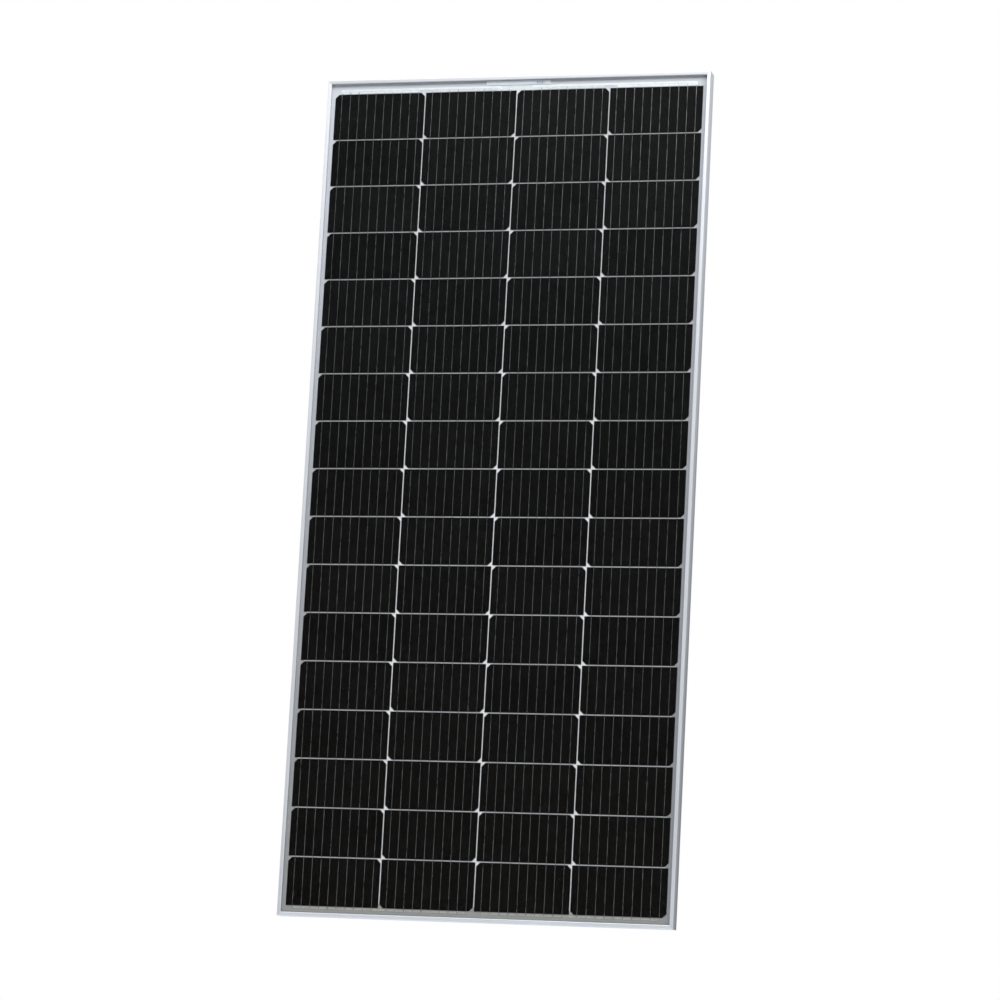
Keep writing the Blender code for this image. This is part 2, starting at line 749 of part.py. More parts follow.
def bevel_rear_rim(mesh, width):
    """Bevels the edges round the rear face of a block."""
    bm = bmesh.new()
    bm.from_mesh(mesh)
    bmesh.ops.dissolve_limit(bm, angle_limit=math.radians(1), verts=bm.verts, edges=bm.edges)
    rear = min(vertex.co.z for vertex in bm.verts)
    rim = [edge for edge in bm.edges if all(abs(vertex.co.z - rear) < MERGE for vertex in edge.verts)]
    bmesh.ops.bevel(bm, geom=rim, offset=width, segments=2, profile=0.5, affect="EDGES")
    bm.to_mesh(mesh)
    bm.free()


def make_lid():
    """The lid and what moves with it hang from an empty on the hinge axis."""
    axis = bpy.data.objects.new("lid_axis", None)
    panel.objects.link(axis)
    place(axis, (0, y_at(HINGE_DEPTH), HINGE_HEIGHT))
    bpy.context.view_layer.update()
    grow = LID_CLEARANCE + LID_SKIRT
    low, high = box_corners(grow)
    plate_top = BOX_TOP + LID_SKIRT
    outline = rounded_rectangle(low, (high[0], plate_top), BOX_RADIUS + grow)
    lid = block("junction_box_lid", [outline], (SKIRT_FRONT, LID_REAR), part, **MOULDING)
    bevel_rear_rim(lid.data, LID_BEVEL)
    low, high = box_corners(LID_CLEARANCE)
    pocket = rounded_rectangle(low, (high[0], high[1] + 2 * BOX_RADIUS), BOX_RADIUS)
    boolean(lid, block("lid_pocket", [pocket], (SKIRT_FRONT - LID_SKIRT, LID_FRONT)))
    plateau_outline = rounded_rectangle(*box_corners(-LID_PLATEAU_INSET), BOX_RADIUS / 2)
    plateau_layer = (middle((LID_FRONT, LID_REAR)), LID_REAR + LID_PLATEAU_RISE)
    plateau = block("lid_plateau", [plateau_outline], plateau_layer)
    bevel_rear_rim(plateau.data, LID_PLATEAU_RISE / 2)
    boolean(lid, plateau, "UNION")
    for side in (-1, 1):
        knuckle_mesh = outline_mesh("lid_knuckle", [knuckle_outline()], KNUCKLE_WIDTH)
        knuckle = cutter("lid_knuckle", knuckle_mesh)
        place(knuckle, (side * HINGE_OFFSET, 0, 0), ALONG_X)
        boolean(lid, knuckle, "UNION")
    boolean(lid, hinge_bore("knuckle_bore"))
    parts = [lid]
    z = BOX_BOTTOM + SCREW_INSET
    for side, x in screw_places():
        depth = 2 * (SCREW_HEAD_HEIGHT + SCREW_RECESS + LID_PLATEAU_RISE)
        seat_mesh = cylinder_mesh("seat", SCREW_HEAD_RADIUS + SCREW_CLEARANCE, depth)
        seat = cutter("screw_seat_" + side, seat_mesh)
        place(seat, (x, y_at(LID_REAR + LID_PLATEAU_RISE), z), FACING_BACK)
        boolean(lid, seat)
        hole_mesh = cylinder_mesh("hole", SCREW_RADIUS + SCREW_CLEARANCE, 4 * (LID_REAR - LID_FRONT))
        hole = cutter("screw_hole_" + side, hole_mesh)
        place(hole, (x, y_at(LID_FRONT), z), FACING_BACK)
        boolean(lid, hole)
        parts.append(make_screw("lid_screw_" + side, x, z))
    middle_inset = (BOX_WALL - GASKET_WIDTH) / 2
    outer = rounded_rectangle(*box_corners(-middle_inset), BOX_RADIUS - middle_inset)
    inner_inset = middle_inset + GASKET_WIDTH
    inner = rounded_rectangle(*box_corners(-inner_inset), BOX_RADIUS - inner_inset)
    parts.append(block("lid_gasket", [outer, inner], GASKET_LAYER, part, finish=BLACK_RUBBER))
    bpy.context.view_layer.update()
    for obj in parts:
        obj.parent = axis
        obj.matrix_parent_inverse = axis.matrix_world.inverted()


def knuckle_outline():
    """Side view of a lid knuckle, in Y and Z: a round head and an arm into the lid's plate."""
    y, z = y_at(HINGE_DEPTH), HINGE_HEIGHT
    arm_low = BOX_TOP - 2 * EAR_RADIUS
    arm_front = y_at(LID_FRONT + ARM_EMBED)
    arm_rear = y_at(middle((LID_FRONT, LID_REAR)))
    head = arc((y, z), EAR_RADIUS, 90, KNUCKLE_END_ANGLE, EAR_STEPS + 2)
    shoulder = BOX_TOP - EAR_RADIUS / 2
    return [
        (arm_front, shoulder),
        (arm_front, arm_low),
        (arm_rear, arm_low),
        (arm_rear, z + EAR_RADIUS),
        *head,
    ]


def make_screw(name, x, z):
    """A cross-head screw, its head flush in the lid."""
    head_rear = LID_REAR - SCREW_RECESS
    length = head_rear - SCREW_TIP
    profile = [
        (0.0, length),
        (SCREW_HEAD_RADIUS, length),
        (SCREW_HEAD_RADIUS, length - SCREW_HEAD_HEIGHT),
        (SCREW_RADIUS, length - SCREW_HEAD_HEIGHT),
        (SCREW_RADIUS, SCREW_RADIUS),
        (0.0, 0.0),
    ]
    screw = part(name, turned_mesh(name, profile), STEEL, SMOOTH_ANGLE)
    place(screw, (x, y_at(SCREW_TIP), z), (-math.pi / 2, 0, 0))
    recess = outline_mesh(name + "_drive", [cross_outline()], 2 * DRIVE_DEPTH)
    recess.transform(Matrix.Rotation(math.radians(DRIVE_TURN), 4, "Z"))
    drive = cutter(name + "_drive", recess)
    place(drive, (x, y_at(head_rear), z), FACING_BACK)
    boolean(screw, drive)
    return screw


def cross_outline():
    """A plus sign."""
    a, b = DRIVE_WIDTH / 2, DRIVE_LENGTH / 2
    quarter = [(b, -a), (b, a), (a, a)]
    points = []
    for turns in range(4):
        for x, y in quarter:
            for _ in range(turns):
                x, y = -y, x
            points.append((x, y))
    return points


def make_adhesive_bed():
    low, high = box_corners(-BOX_WALL / 2)
    inner_low, inner_high = box_corners(-BOX_WALL / 2 - BED_WIDTH)
    outline = rounded_rectangle(low, high, BOX_RADIUS)
    window = [inner_low, (inner_high[0], inner_low[1]), inner_high, (inner_low[0], inner_high[1])]
    block("junction_box_bed", [outline, window], BED_LAYER, part, finish=SILICONE_BED)


def make_terminals():
    """Bent strips that stand on the floor; the lead-outs lie on their plates."""
    foot = y_at(FLOOR_REAR + TERMINAL_FOOT_GAP)
    front, rear = y_at(TERMINAL_FRONT), y_at(TERMINAL_REAR)
    stock = TERMINAL_REAR - TERMINAL_FRONT
    for name, x, bottom in (
        ("terminal_left", -LEAD_SPACING, OUTER_TERMINAL_BOTTOM),
        ("terminal_centre", 0.0, TERMINAL_BOTTOM),
        ("terminal_right", LEAD_SPACING, OUTER_TERMINAL_BOTTOM),
    ):
        side = [
            (foot, bottom),
            (rear, bottom),
            (rear, TERMINAL_TOP),
            (foot, TERMINAL_TOP),
            (foot, TERMINAL_TOP - stock),
            (front, TERMINAL_TOP - stock),
            (front, bottom + stock),
            (foot, bottom + stock),
        ]
        mesh = outline_mesh(name, [side], TERMINAL_WIDTH)
        place(part(name, mesh, BRASS), (x, 0, 0), ALONG_X)


def make_diodes():
    """Axial diodes between neighbouring terminals."""
    depth = TERMINAL_REAR + DIODE_LEAD_RADIUS + TERMINAL_FOOT_GAP / 3
    for name, side in (("bypass_diode_left", -1), ("bypass_diode_right", 1)):
        ends = sorted((side * DIODE_INNER_END, side * DIODE_OUTER_END))
        body_low = side * DIODE_CENTRE - DIODE_BODY / 2
        body_high = side * DIODE_CENTRE + DIODE_BODY / 2
        profile = [
            (0.0, ends[1]),
            (DIODE_LEAD_RADIUS, ends[1]),
            (DIODE_LEAD_RADIUS, body_high),
            (DIODE_RADIUS, body_high),
            (DIODE_RADIUS, body_low),
            (DIODE_LEAD_RADIUS, body_low),
            (DIODE_LEAD_RADIUS, ends[0]),
            (0.0, ends[0]),
        ]
        diode = part(name, turned_mesh(name, profile), BLACK_PLASTIC, SMOOTH_ANGLE)
        place(diode, (0, y_at(depth), DIODE_HEIGHT), (0, math.pi / 2, 0))


def make_glands():
    for side_name, side in (("left", -1), ("right", 1)):
        location = (side * GLAND_OFFSET, y_at(GLAND_DEPTH), BOX_BOTTOM)
        body_profile = [
            (GLAND_SPIGOT, GLAND_INSIDE),
            (GLAND_SPIGOT, -GLAND_FLANGE_TOP),
            (GLAND_FLANGE, -GLAND_FLANGE_TOP),
            (GLAND_FLANGE, -GLAND_FLANGE_END),
            (GLAND_THREAD, -GLAND_FLANGE_END),
            (GLAND_THREAD, -GLAND_THREAD_END),
            (GLAND_BORE, -GLAND_THREAD_END),
            (GLAND_BORE, GLAND_INSIDE),
        ]
        body_mesh = turned_mesh("gland_body", body_profile, ring=True)
        place(part("gland_body_" + side_name, body_mesh, BLACK_PLASTIC, SMOOTH_ANGLE), location)
        ring_profile = [
            (SEAL_RING_RADIUS, -SEAL_RING_SPAN[0]),
            (SEAL_RING_RADIUS, -SEAL_RING_SPAN[1]),
            (SEAL_RING_BORE, -SEAL_RING_SPAN[1]),
            (SEAL_RING_BORE, -SEAL_RING_SPAN[0]),
        ]
        ring_mesh = turned_mesh("gland_seal", ring_profile, ring=True)
        place(part("gland_seal_" + side_name, ring_mesh, BLACK_RUBBER, SMOOTH_ANGLE), location)
        make_gland_nut("gland_nut_" + side_name, location)


def make_gland_nut(name, location):
    """A hexagonal cap, hollow from its mouth, with a cable hole through its end."""
    height = NUT_END - NUT_TOP
    mesh = cylinder_mesh(name, NUT_RADIUS, height, segments=6)
    mesh.transform(Matrix.Translation((0, 0, -(NUT_TOP + NUT_END) / 2)))
    nut = place(part(name, mesh, BLACK_PLASTIC), location)
    bevel = nut.modifiers.new("edges", "BEVEL")
    bevel.width = NUT_BEVEL
    bevel.segments = 1
    hollow_profile = [
        (0.0, 0.0),
        (NUT_CAVITY_RADIUS, 0.0),
        (NUT_CAVITY_RADIUS, -NUT_CAVITY_END),
        (NUT_BORE, -NUT_CAVITY_END),
        (NUT_BORE, -NUT_END - BOX_WALL),
        (0.0, -NUT_END - BOX_WALL),
    ]
    hollow = cutter(name + "_hollow", turned_mesh(name + "_hollow", hollow_profile))
    place(hollow, location)
    boolean(nut, hollow)


clear_scene()
panel = new_collection("solar_panel")
cutters = new_collection("cutters")

make_frame()
make_corner_keys()
make_laminate()
make_cells()
make_lead_outs(*make_bus_ribbons())
make_adhesive_bed()
make_junction_box_base()
make_hinge_pins()
make_terminals()
make_diodes()
make_glands()
make_lid()
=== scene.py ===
"""Studio scene of the framed half-cut solar panel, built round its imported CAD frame, in metres.

+X is to the right seen from the front, +Z is up and the glass faces -Y. Every piece's mesh is
in the panel's own coordinates, so texture coordinates are metres on the panel.
"""

import json
import math

import bmesh
import bpy
import numpy as np
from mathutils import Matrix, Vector, noise


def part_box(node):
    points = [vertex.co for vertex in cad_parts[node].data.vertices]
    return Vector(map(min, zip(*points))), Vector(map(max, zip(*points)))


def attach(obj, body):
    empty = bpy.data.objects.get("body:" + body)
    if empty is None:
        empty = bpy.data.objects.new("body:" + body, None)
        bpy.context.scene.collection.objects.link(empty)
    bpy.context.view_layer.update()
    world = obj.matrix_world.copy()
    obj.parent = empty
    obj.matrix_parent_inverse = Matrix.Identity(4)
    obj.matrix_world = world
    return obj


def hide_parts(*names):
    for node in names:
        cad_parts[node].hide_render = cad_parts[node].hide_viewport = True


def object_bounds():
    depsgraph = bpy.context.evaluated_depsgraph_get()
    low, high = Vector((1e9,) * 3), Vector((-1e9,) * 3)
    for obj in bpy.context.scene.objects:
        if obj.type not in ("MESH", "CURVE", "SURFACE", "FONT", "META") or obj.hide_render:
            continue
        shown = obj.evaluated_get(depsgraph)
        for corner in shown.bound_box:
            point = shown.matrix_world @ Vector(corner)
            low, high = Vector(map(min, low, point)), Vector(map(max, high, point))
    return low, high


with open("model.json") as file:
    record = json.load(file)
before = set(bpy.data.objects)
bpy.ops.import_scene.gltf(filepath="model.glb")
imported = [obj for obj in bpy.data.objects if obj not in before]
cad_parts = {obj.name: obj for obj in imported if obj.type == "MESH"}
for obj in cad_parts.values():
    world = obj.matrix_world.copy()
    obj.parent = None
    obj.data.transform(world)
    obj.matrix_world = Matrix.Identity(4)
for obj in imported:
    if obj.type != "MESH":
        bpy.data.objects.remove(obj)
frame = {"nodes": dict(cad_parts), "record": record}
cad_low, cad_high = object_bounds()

# Panel layout, as the frame has it
COLUMNS = 4
ROWS = 17
CELL_WIDTH = 0.182
CELL_HEIGHT = 0.091
CELL_GAP = 0.002
CELL_CHAMFER = 0.0073
COLUMN_PITCH = CELL_WIDTH + CELL_GAP
ROW_PITCH = CELL_HEIGHT + CELL_GAP
CELLS_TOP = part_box("cell_string_1")[1].z
CELLS_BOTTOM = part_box("cell_string_1")[0].z
CELL_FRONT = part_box("cell_string_1")[0].y
CELL_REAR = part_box("cell_string_1")[1].y

# Cell ribbons
RIBBONS = 10
RIBBON_PITCH = 0.0173
RIBBON_WIDTH = 0.0009
RIBBON_TOP_WIDTH = 0.0006
RIBBON_THICKNESS = 0.00012
RIBBON_START = 0.0006
RIBBON_BEND = 0.0008
RIBBON_TAIL = 0.004

# Silicone bead round the junction box's foot
BEAD_CORNER = 0.006
BEAD_STEP = 0.0015
BEAD_SECTION = (
    (-0.007, 0.0), (0.0022, 0.0), (0.0030, -0.0004), (0.0028, -0.0011),
    (0.0018, -0.0018), (0.0004, -0.0021), (-0.0005, -0.0006), (-0.007, -0.0005),
)

# Relief of the cells and ribbons in the back of the laminate
RELIEF = 0.00005
RELIEF_RAMP = 0.0008
RIBBON_RELIEF_STEPS = (-0.0012, -0.0004, 0.0004, 0.0012)

# Solder and diodes in the junction box
DIODE_PITCH = 0.034
DIODE_BAND_START = 0.0032
DIODE_BAND_END = 0.0048
DIODE_INNER_JOINT = 0.0042
LEAD_JOINT_DROP = 0.0075

# Label printing
BAR_WIDTH = 0.0004
TABLE_BORDER = 0.004
TABLE_ROW = 0.0062
TABLE_LINE = 0.0004
# The serial label's paper carries painted light above this height, where the top rail's shadow falls.
SERIAL_PAINTED_LIGHT_ABOVE = 0.800
PAINTED_LIGHT_RAMP = 0.003

# Studio, with the way from the panel to its unlit corner, and the camera's turn in degrees
DARK_CORNER = (-0.273, -0.947, 0.170)
FLOOR_HEIGHT = -1.42
FLOOR_HALF = 30.0
CAMERA_PLACE = (1.9122, -6.7918, -1.2571)
CAMERA_TURN = (100.019, -3.009, 15.173)


def node(tree, kind, inputs=None, **settings):
    """A shader node with its settings, and its inputs given as values or as sockets to link."""
    made = tree.nodes.new("ShaderNode" + kind)
    for name, value in settings.items():
        setattr(made, name, value)
    for socket, value in (inputs or {}).items():
        if isinstance(value, bpy.types.NodeSocket):
            tree.links.new(value, made.inputs[socket])
        else:
            made.inputs[socket].default_value = value
    return made


class Look:
    """A Principled material under construction."""

    def __init__(self, name, **inputs):
        self.material = bpy.data.materials.new(name)
        self.material.use_nodes = True
        self.tree = self.material.node_tree
        self.shader = self.tree.nodes["Principled BSDF"]
        self.place = node(self.tree, "TexCoord").outputs["Object"]
        for socket, value in inputs.items():
            self.shader.inputs[socket.replace("_", " ")].default_value = value

    def node(self, kind, inputs=None, **settings):
        return node(self.tree, kind, inputs, **settings)

    def link(self, output, socket):
        self.tree.links.new(output, self.shader.inputs[socket])

    def stretched(self, scale):
        """Texture coordinates multiplied by a scale for each axis, per metre."""
        return self.node("VectorMath", {0: self.place, 1: scale}, operation="MULTIPLY").outputs[0]

    def noise(self, scale, detail=2.0, roughness=0.5):
        """Noise from 0 to 1, at a scale for each axis or one for all."""
        scale = scale if isinstance(scale, tuple) else (scale,) * 3
        inputs = {"Vector": self.stretched(scale), "Scale": 1.0, "Detail": detail, "Roughness": roughness}
        return self.node("TexNoise", inputs).outputs["Fac"]

    def remap(self, value, low, high, new_low, new_high):
        """A value's place between low and high, clamped, carried to the new range."""
        inputs = {0: value, 1: low, 2: high, 3: new_low, 4: new_high}
        return self.node("MapRange", inputs).outputs[0]

    def math(self, operation, a, b=0.0, c=0.0):
        return self.node("Math", {0: a, 1: b, 2: c}, operation=operation).outputs[0]

    def axes(self):
        """The X, Y and Z coordinates."""
        return self.node("SeparateXYZ", {0: self.place}).outputs

    def mix(self, factor, a, b, blend="MIX"):
        """Two colours mixed by a factor."""
        made = self.node("Mix", {0: factor}, data_type="RGBA", blend_type=blend)
        for index, value in ((6, a), (7, b)):
            if isinstance(value, bpy.types.NodeSocket):
                self.tree.links.new(value, made.inputs[index])
            else:
                made.inputs[index].default_value = (*value, 1.0)
        return made.outputs[2]

    def bump(self, height, strength, distance):
        inputs = {"Height": height, "Strength": strength, "Distance": distance}
        self.link(self.node("Bump", inputs).outputs[0], "Normal")

    def stripes(self, value, pitch, width):
        """1 within a stripe of the given width, centred at each multiple of pitch, else 0."""
        wrapped = self.math("PINGPONG", value, pitch / 2)
        return self.math("LESS_THAN", wrapped, width / 2)


def aluminium(name, along, shade=1.0):
    """Clear-anodised extrusion with fine die lines along one axis.

    Its side walls carry painted shade: darker overall, and darker still towards the foot and towards the
    rear."""
    look = Look(name, Metallic=0.3)
    fine = tuple(9.0 if axis == along else 2600.0 for axis in "xyz")
    broad = tuple(2.0 if axis == along else 420.0 for axis in "xyz")
    lines = look.noise(fine, 3.0, 0.6)
    bands = look.noise(broad, 2.0)
    cloud = look.noise(7.0, 4.0, 0.6)
    # A shade factor other than 1 makes a lighter or darker copy of the finish, which paints light or shade
    # on a rail.
    dark = [shade * value for value in (0.72, 0.75, 0.80)]
    light = [shade * value for value in (0.80, 0.83, 0.88)]
    tone = look.mix(look.remap(bands, 0.3, 0.7, 0.0, 1.0), dark, light)
    tone = look.mix(look.remap(cloud, 0.35, 0.75, 0.0, 0.22), tone, (0.60, 0.62, 0.67))
    across, depth, height = look.axes()
    # Painted shade: the side walls take a darker tone, stronger towards the foot, and a darker one again
    # towards the rear.
    side_wall_shade_mask = look.math("GREATER_THAN", look.math("ABSOLUTE", across), cad_high.x - 0.0012)
    side_wall_shade_mask = look.math("MULTIPLY", side_wall_shade_mask, look.remap(height, 0.8, -0.3, 0.25, 1.0))
    wall_painted_shade = look.math("MULTIPLY", side_wall_shade_mask, look.remap(depth, -0.0292, -0.0270, 0.0, 1.0))
    rear_painted_shade = look.math("MULTIPLY", side_wall_shade_mask, look.remap(depth, -0.022, -0.002, 0.0, 1.0))
    tone = look.mix(wall_painted_shade, tone, (0.44, 0.46, 0.49))
    tone = look.mix(rear_painted_shade, tone, (0.25, 0.26, 0.28))
    look.link(tone, "Base Color")
    look.link(look.remap(lines, 0.2, 0.8, 0.34, 0.48), "Roughness")
    look.bump(look.math("ADD", lines, bands), 0.12, 0.00006)
    return look.material


def speckled(name, dark, light, scale, roughness, grain=0.0, **inputs):
    """A surface whose colour and roughness drift over it, with an optional fine grain."""
    look = Look(name, **inputs)
    drift = look.noise(scale, 4.0, 0.6)
    look.link(look.mix(look.remap(drift, 0.3, 0.7, 0.0, 1.0), dark, light), "Base Color")
    look.link(look.remap(drift, 0.3, 0.7, roughness[0], roughness[1]), "Roughness")
    if grain:
        look.bump(look.noise(scale * 14, 3.0, 0.7), 0.35, grain)
    return look.material


def solar_glass():
    """Low-iron textured glass with an anti-reflection coat: clear, and glossy only near grazing."""
    look = Look("solar_glass", Metallic=1.0)
    stipple = look.noise(900.0, 2.0)
    veil = look.noise(6.0, 3.0)
    look.shader.inputs["Base Color"].default_value = (0.93, 0.95, 0.98, 1.0)
    look.link(look.remap(veil, 0.3, 0.7, 0.09, 0.15), "Roughness")
    look.bump(stipple, 0.05, 0.00002)
    facing = look.node("LayerWeight", {"Blend": 0.5}).outputs["Facing"]
    gloss = look.math("MULTIPLY_ADD", look.math("POWER", facing, 5.0), 0.9, 0.007)
    clear = look.node("BsdfTransparent", {"Color": (0.975, 0.985, 0.985, 1.0)})
    out = look.tree.nodes["Material Output"]
    mixed = look.node("MixShader", {0: gloss, 1: clear.outputs[0], 2: look.shader.outputs[0]})
    look.tree.links.new(mixed.outputs[0], out.inputs["Surface"])
    return look.material


def silicon():
    """Near-black textured monocrystalline wafers with printed fingers, each a slightly different shade, with
    a painted reflection that is cool at the top and warm towards the foot.
    """
    look = Look("silicon_wafer", Specular_IOR_Level=0.05)
    x, _, z = look.axes()
    column = look.math("FLOOR", look.math("DIVIDE", x, COLUMN_PITCH))
    from_bottom = look.math("SUBTRACT", z, CELLS_BOTTOM - CELL_GAP / 2)
    row = look.math("FLOOR", look.math("DIVIDE", from_bottom, ROW_PITCH))
    corner = look.node("CombineXYZ", {0: column, 2: row}).outputs[0]
    shade = look.node("TexWhiteNoise", {"Vector": corner}).outputs["Value"]
    painted_reflection_cool = look.mix(shade, (0.0016, 0.0016, 0.0018), (0.0034, 0.0034, 0.0036))
    painted_reflection_warm = look.mix(shade, (0.0026, 0.0018, 0.0013), (0.0046, 0.0034, 0.0026))
    # Painted reflection: the wafers turn from a cool tint at the top to a warm one towards the foot.
    low = look.remap(z, 0.35, -0.7, 0.0, 1.0)
    body = look.mix(low, painted_reflection_cool, painted_reflection_warm)
    grain = look.noise(60.0, 3.0)
    body = look.mix(look.remap(grain, 0.3, 0.7, 0.0, 0.35), body, (0.0050, 0.0050, 0.0050))
    finger = look.stripes(z, 0.0015, 0.00005)
    look.link(look.mix(finger, body, (0.05, 0.05, 0.05)), "Base Color")
    look.link(look.remap(grain, 0.3, 0.7, 0.38, 0.52), "Roughness")
    look.bump(look.math("ADD", finger, look.noise(9000.0, 1.0)), 0.2, 0.00001)
    return look.material


def tinned_copper(name, dark, light, roughness, metallic=1.0):
    """Solder-dipped ribbon, drawn lengthwise, with duller patches."""
    look = Look(name, Metallic=metallic)
    patches = look.noise(140.0, 4.0, 0.65)
    sheen = look.noise((900.0, 900.0, 40.0), 2.0)
    look.link(look.mix(look.remap(patches, 0.3, 0.7, 0.0, 1.0), dark, light), "Base Color")
    look.link(look.remap(sheen, 0.3, 0.7, roughness - 0.07, roughness + 0.07), "Roughness")
    look.bump(patches, 0.25, 0.00004)
    return look.material


def label(name, printing, dark, light, painted_light_above=1.0):
    """Coated label stock with generic marks printed in grey, with painted light above a height in metres."""
    look = Look(name)
    x, _, z = look.axes()
    paper = look.mix(look.noise(300.0, 3.0), dark, light)
    # Painted light: the paper turns lighter above the given height, where the top rail's shadow falls.
    pale = look.remap(z, painted_light_above, painted_light_above + PAINTED_LIGHT_RAMP, 0.0, 1.0)
    paper = look.mix(pale, paper, (0.93, 0.95, 1.0))
    ink = printing(look, x, z)
    look.link(look.mix(ink, paper, (0.06, 0.06, 0.07)), "Base Color")
    look.link(look.remap(look.noise(90.0), 0.3, 0.7, 0.38, 0.55), "Roughness")
    return look.material


def within(look, value, low, high):
    """1 where a value lies between two others, else 0."""
    return look.math("MULTIPLY", look.math("GREATER_THAN", value, low), look.math("LESS_THAN", value, high))


def within_box(look, x, z, low, high, inset):
    """1 inside a box in X and Z drawn in by an inset, else 0."""
    across = within(look, x, low.x + inset, high.x - inset)
    return look.math("MULTIPLY", across, within(look, z, low.z + inset, high.z - inset))


def barcode(look, x, z):
    """Pale bars on the right part of the strip, with a blank margin."""
    low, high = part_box("serial_label")
    bar = look.math("FLOOR", look.math("DIVIDE", x, BAR_WIDTH))
    chance = look.node("TexWhiteNoise", {"W": bar}, noise_dimensions="1D").outputs["Value"]
    dark = look.math("LESS_THAN", chance, 0.45)
    span = within(look, x, high.x - 0.030, high.x - 0.010)
    height = within(look, z, low.z + 0.0012, high.z - 0.0012)
    return look.math("MULTIPLY", look.math("MULTIPLY", dark, 0.5), look.math("MULTIPLY", span, height))


def ruled_table(look, x, z):
    """A bordered table of blank rows with one dividing line."""
    low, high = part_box("rating_label")
    inside = within_box(look, x, z, low, high, TABLE_BORDER)
    rows = look.stripes(look.math("SUBTRACT", z, low.z + TABLE_BORDER), TABLE_ROW, 0.0003)
    divider = within(look, x, -0.008, -0.0077)
    outline = look.math("SUBTRACT", 1.0, within_box(look, x, z, low, high, TABLE_BORDER + TABLE_LINE))
    lines = look.math("MAXIMUM", look.math("MAXIMUM", rows, divider), outline)
    return look.math("MULTIPLY", look.math("MULTIPLY", inside, lines), 0.75)


def wear(obj, material):
    """Give an object one material."""
    obj.data.materials.clear()
    obj.data.materials.append(material)
    return obj


def finished(name, mesh, material, body="panel", stands_for=(), smooth=False):
    """A mesh as a piece of the panel that rides on a body."""
    piece = bpy.data.objects.new(name, mesh)
    bpy.context.scene.collection.objects.link(piece)
    wear(piece, material)
    if smooth:
        mesh.shade_smooth()
    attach(piece, body)
    if stands_for:
        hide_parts(*stands_for)
    return piece


def closed_mesh(name, bm):
    """The closed bodies of a bmesh as a mesh, with their faces turned outwards."""
    bmesh.ops.recalc_face_normals(bm, faces=bm.faces)
    mesh = bpy.data.meshes.new(name)
    bm.to_mesh(mesh)
    bm.free()
    return mesh


def mesh_from(name, places, faces):
    """A closed mesh from its points and, for each face, the indices of its corners."""
    bm = bmesh.new()
    points = [bm.verts.new(place) for place in places]
    for face in faces:
        bm.faces.new([points[index] for index in face])
    return closed_mesh(name, bm)


def prisms(name, outlines, front, rear):
    """Closed prisms from outlines in X and Z, between two depths."""
    bm = bmesh.new()
    for outline in outlines:
        near = [bm.verts.new((x, front, z)) for x, z in outline]
        far = [bm.verts.new((x, rear, z)) for x, z in outline]
        bm.faces.new(near)
        bm.faces.new(far[::-1])
        for index in range(len(outline)):
            after = (index + 1) % len(outline)
            bm.faces.new((near[index], far[index], far[after], near[after]))
    return closed_mesh(name, bm)


def swept(name, paths, section, closed=False):
    """Bars with one cross-section along paths of (x, y, z) with their own side vectors.

    A section point is (along the side vector, towards the front)."""
    vertices = []
    faces = []
    count = len(section)
    for path in paths:
        first = len(vertices)
        for (x, y, z), (side_x, side_z) in path:
            for across, forward in section:
                vertices.append((x + across * side_x, y - forward, z + across * side_z))
        steps = len(path) if closed else len(path) - 1
        for step in range(steps):
            here = first + step * count
            there = first + (step + 1) % len(path) * count
            for index in range(count):
                after = (index + 1) % count
                faces.append((here + index, here + after, there + after, there + index))
        if not closed:
            faces.append(tuple(range(first + count - 1, first - 1, -1)))
            last = first + (len(path) - 1) * count
            faces.append(tuple(range(last, last + count)))
    return mesh_from(name, vertices, faces)


def column_centre(column):
    """A column of cells' middle in X."""
    return (column - (COLUMNS - 1) / 2) * COLUMN_PITCH


def ribbon_places(column):
    """The X of each ribbon of a column."""
    return [column_centre(column) + (index - (RIBBONS - 1) / 2) * RIBBON_PITCH for index in range(RIBBONS)]


def wafer_outlines(column):
    """Half-cells of one column: columns are chamfered at the top and at the bottom in turn."""
    centre = column_centre(column)
    half = CELL_WIDTH / 2
    outlines = []
    for row in range(ROWS):
        top = CELLS_TOP - row * ROW_PITCH
        bottom = top - CELL_HEIGHT
        if column % 2 == 0:
            side = [(half - CELL_CHAMFER, top), (half, top - CELL_CHAMFER), (half, bottom)]
        else:
            side = [(half, top), (half, bottom + CELL_CHAMFER), (half - CELL_CHAMFER, bottom)]
        outlines.append([(centre + x, z) for x, z in side] + [(centre - x, z) for x, z in side[::-1]])
    return outlines


def ribbon_paths(column):
    """Each ribbon lies on the front of one half-cell, then steps through the gap behind the next."""
    on_front = CELL_FRONT
    behind = CELL_REAR + RIBBON_THICKNESS
    top_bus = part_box("top_bus_centre")
    bottom_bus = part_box("bottom_bus_left")
    on_bus = top_bus[0].y - 0.00001
    side = (1.0, 0.0)
    paths = []
    for x in ribbon_places(column):
        for row in range(ROWS):
            top = CELLS_TOP - row * ROW_PITCH
            bottom = top - CELL_HEIGHT
            if row == 0:
                start = (top_bus[0].z + top_bus[1].z) / 2
                path = [(start, on_bus), (top + RIBBON_BEND / 2, on_bus), (top - RIBBON_BEND, on_front)]
            else:
                path = [(top - RIBBON_START, on_front)]
            if row == ROWS - 1:
                end = (bottom_bus[0].z + bottom_bus[1].z) / 2
                path += [(bottom + RIBBON_BEND, on_front), (bottom - RIBBON_BEND / 2, on_bus)]
                path += [(end, on_bus)]
            else:
                after = bottom - CELL_GAP
                path += [(bottom + RIBBON_BEND / 2, on_front), (after + RIBBON_BEND / 2, behind)]
                path += [(after - RIBBON_TAIL, behind)]
            paths.append([((x, y, z), side) for z, y in path])
    return paths


